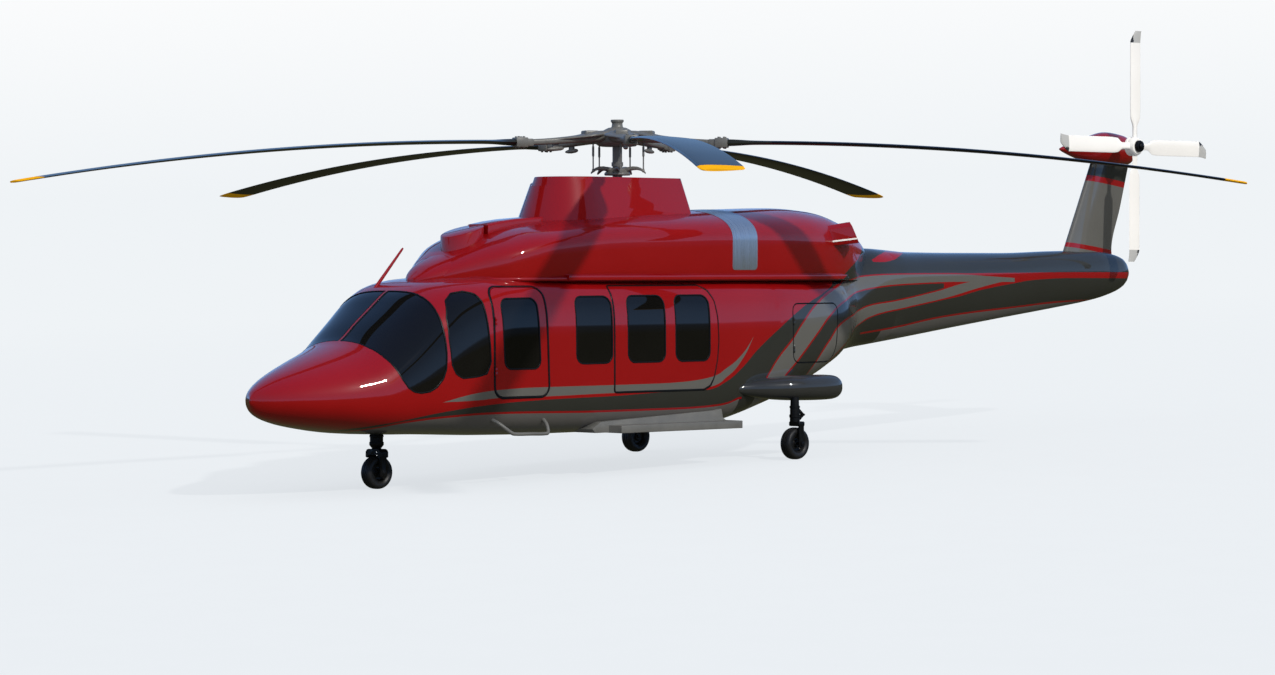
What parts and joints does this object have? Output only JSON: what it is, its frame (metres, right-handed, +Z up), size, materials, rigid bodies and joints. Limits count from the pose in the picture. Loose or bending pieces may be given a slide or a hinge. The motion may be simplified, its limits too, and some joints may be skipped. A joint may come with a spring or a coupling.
{
  "type": "transport helicopter",
  "caption": "Medium transport helicopter in crimson, grey and charcoal paint on wheeled gear, with drooping main rotor blades, an offset tail rotor and hinged crew and baggage doors.",
  "frame": {"origin": "centre of the bottom face of the belly hardpoint pad, on the line of the main rotor mast", "axes": "+Z up, at right angles to the floor that the wheels stand on; +Y towards the tail; +X towards the port side, where the tail rotor is"},
  "size_m": [15.201, 20.0251, 5.865],
  "materials": {
    "red_paint": "gloss",
    "charcoal_paint": "gloss",
    "grey_paint": "satin",
    "hub_grey": "satin",
    "blade_olive": "satin",
    "tinted_glass": "gloss",
    "black_gear": "satin",
    "rubber": "matte",
    "rim_metal": "satin",
    "interior_grey": "matte",
    "seat_leather": "matte",
    "steel": "satin"
  },
  "bodies": {
    "airframe": {"nose_cap": "red_paint", "cockpit_frame": "red_paint", "cabin_belly": "grey_paint", "cabin_side_left": "red_paint", "cabin_side_right": "red_paint", "cabin_roof": "red_paint", "rear_fuselage": "charcoal_paint", "tail_boom": "charcoal_paint", "windscreen_left": "tinted_glass", "windscreen_right": "tinted_glass", "quarter_window_left": "tinted_glass", "quarter_window_right": "tinted_glass", "cabin_window_left": "tinted_glass", "cabin_window_right": "tinted_glass", "sliding_door_window_front_left": "tinted_glass", "sliding_door_window_front_right": "tinted_glass", "sliding_door_window_rear_left": "tinted_glass", "sliding_door_window_rear_right": "tinted_glass", "sliding_door_left": "red_paint", "sliding_door_right": "red_paint", "engine_cowling": "red_paint", "mast_fairing": "red_paint", "engine_and_gearbox": "steel", "cabin_floor": "interior_grey", "instrument_panel": "interior_grey", "pilot_seat_left": "seat_leather", "pilot_seat_right": "seat_leather", "cabin_seat_row": "seat_leather", "tail_fin": "grey_paint", "tail_gearbox_fairing": "red_paint", "sponson_left": "charcoal_paint", "sponson_right": "charcoal_paint", "main_step_left": "grey_paint", "main_step_right": "grey_paint", "front_step_left": "grey_paint", "front_step_right": "grey_paint", "nose_strut": "black_gear", "main_leg_left": "black_gear", "main_leg_right": "black_gear"},
    "main_rotor": {"rotor_hub": "hub_grey", "swashplate": "hub_grey", "main_blade_1": "blade_olive", "main_blade_2": "blade_olive", "main_blade_3": "blade_olive", "main_blade_4": "blade_olive", "main_blade_5": "blade_olive"},
    "tail_rotor": {"tail_rotor": "hub_grey"},
    "nose_fork": {"nose_fork": "black_gear"},
    "nose_wheel": {"nose_wheel_tyre": "rubber", "nose_wheel_rim": "rim_metal"},
    "main_wheel_left": {"main_wheel_left_tyre": "rubber", "main_wheel_left_rim": "rim_metal"},
    "main_wheel_right": {"main_wheel_right_tyre": "rubber", "main_wheel_right_rim": "rim_metal"},
    "crew_door_left": {"crew_door_left": "red_paint", "crew_door_window_left": "tinted_glass"},
    "crew_door_right": {"crew_door_right": "red_paint", "crew_door_window_right": "tinted_glass"},
    "baggage_door_left": {"baggage_door_left": "charcoal_paint"},
    "baggage_door_right": {"baggage_door_right": "charcoal_paint"}
  },
  "joints": [
    {"name": "main_rotor_spin", "type": "hinge", "parent": "airframe", "child": "main_rotor", "pos_m": [0, 0.13198, 3.83473], "axis": [0, 0.0344, 0.9994], "continuous": true},
    {"name": "tail_rotor_spin", "type": "hinge", "parent": "airframe", "child": "tail_rotor", "pos_m": [0.634, 10.40089, 3.65542], "axis": [1, 0, 0], "continuous": true},
    {"name": "nose_steer", "type": "hinge", "parent": "airframe", "child": "nose_fork", "pos_m": [0, -4.19872, 0.04645], "axis": [0, 0.0344, 0.9994], "range_deg": [-60, 60]},
    {"name": "nose_wheel_spin", "type": "hinge", "parent": "nose_fork", "child": "nose_wheel", "pos_m": [0, -4.20892, -0.2503], "axis": [1, 0, 0], "continuous": true},
    {"name": "main_wheel_left_spin", "type": "hinge", "parent": "airframe", "child": "main_wheel_left", "pos_m": [1.5416, 1.80343, -0.2453], "axis": [1, 0, 0], "continuous": true},
    {"name": "main_wheel_right_spin", "type": "hinge", "parent": "airframe", "child": "main_wheel_right", "pos_m": [-1.5416, 1.80343, -0.2453], "axis": [1, 0, 0], "continuous": true},
    {"name": "crew_door_left_hinge", "type": "hinge", "parent": "airframe", "child": "crew_door_left", "pos_m": [1.222, -3.24091, 0.66887], "axis": [0, -0.0344, -0.9994], "range_deg": [0, 75]},
    {"name": "crew_door_right_hinge", "type": "hinge", "parent": "airframe", "child": "crew_door_right", "pos_m": [-1.222, -3.24091, 0.66887], "axis": [0, 0.0344, 0.9994], "range_deg": [0, 75]},
    {"name": "baggage_door_left_hinge", "type": "hinge", "parent": "airframe", "child": "baggage_door_left", "pos_m": [1.186, 2.20439, 0.81666], "axis": [0, -0.0344, -0.9994], "range_deg": [0, 90]},
    {"name": "baggage_door_right_hinge", "type": "hinge", "parent": "airframe", "child": "baggage_door_right", "pos_m": [-1.186, 2.20439, 0.81666], "axis": [0, 0.0344, 0.9994], "range_deg": [0, 90]}
  ]
}
